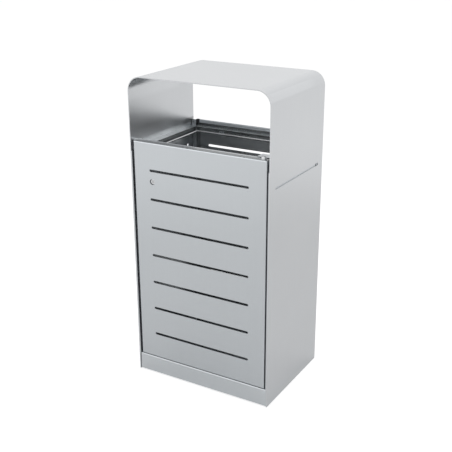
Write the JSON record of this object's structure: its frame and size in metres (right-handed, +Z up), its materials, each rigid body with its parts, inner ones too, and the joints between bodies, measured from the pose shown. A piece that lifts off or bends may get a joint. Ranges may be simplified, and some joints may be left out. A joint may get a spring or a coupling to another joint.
{
  "type": "outdoor waste bin",
  "caption": "Hooded outdoor waste bin in satin stainless steel, with a slotted lockable front door and a hinged ring inside for the bag.",
  "frame": {"origin": "on the ground, at the middle of the bin's footprint", "axes": "+Z up, -Y out of the door's face, +X to the right of a person who faces the door"},
  "size_m": [0.488, 0.36, 1],
  "materials": {
    "outer_steel": "satin, fine grain",
    "inner_steel": "satin",
    "bright_steel": "bright",
    "black_nylon": "matt",
    "black_rubber": "matt",
    "lock_chrome": "satin chrome"
  },
  "bodies": {
    "bin_body": {"outer_wrap": "outer_steel", "inner_plate_left": "inner_steel", "inner_plate_right": "inner_steel", "rear_panel": "outer_steel", "front_plinth": "outer_steel", "rear_plinth": "outer_steel", "base_plate": "inner_steel", "front_rail": "inner_steel", "corner_plate": "inner_steel", "jamb_left": "inner_steel", "jamb_right": "inner_steel", "door_buffers": "black_rubber", "hinge_arm": "inner_steel", "hinge_bush_upper": "black_nylon", "pivot_pin_lower": "bright_steel", "thrust_washer": "black_nylon", "bag_collar": "inner_steel", "collar_bracket_left": "inner_steel", "collar_bracket_right": "inner_steel", "ring_hooks": "inner_steel", "ring_rests": "inner_steel"},
    "ring": {"bag_ring": "bright_steel", "ring_grip": "black_nylon"},
    "door": {"door_panel": "outer_steel", "door_doubler_upper": "inner_steel", "door_doubler_lower": "inner_steel", "pivot_pin_upper": "bright_steel", "pivot_pin_retainer": "bright_steel", "pivot_washer": "bright_steel", "hinge_bush_lower": "black_nylon", "lock_boss": "inner_steel", "lock_barrel": "lock_chrome", "lock_nut": "bright_steel"},
    "lock": {"lock_plug": "lock_chrome", "lock_cam": "bright_steel"}
  },
  "joints": [
    {"name": "door_hinge", "type": "hinge", "parent": "bin_body", "child": "door", "pos_m": [0.216, -0.167, 0.43], "axis": [0, 0, 1], "range_deg": [0, 100]},
    {"name": "lock_turn", "type": "hinge", "parent": "door", "child": "lock", "pos_m": [-0.1655, -0.16, 0.678], "axis": [0, 1, 0], "range_deg": [0, 90]},
    {"name": "ring_tilt", "type": "hinge", "parent": "bin_body", "child": "ring", "pos_m": [0, 0.1435, 0.766], "axis": [-1, 0, 0], "range_deg": [0, 55]}
  ]
}
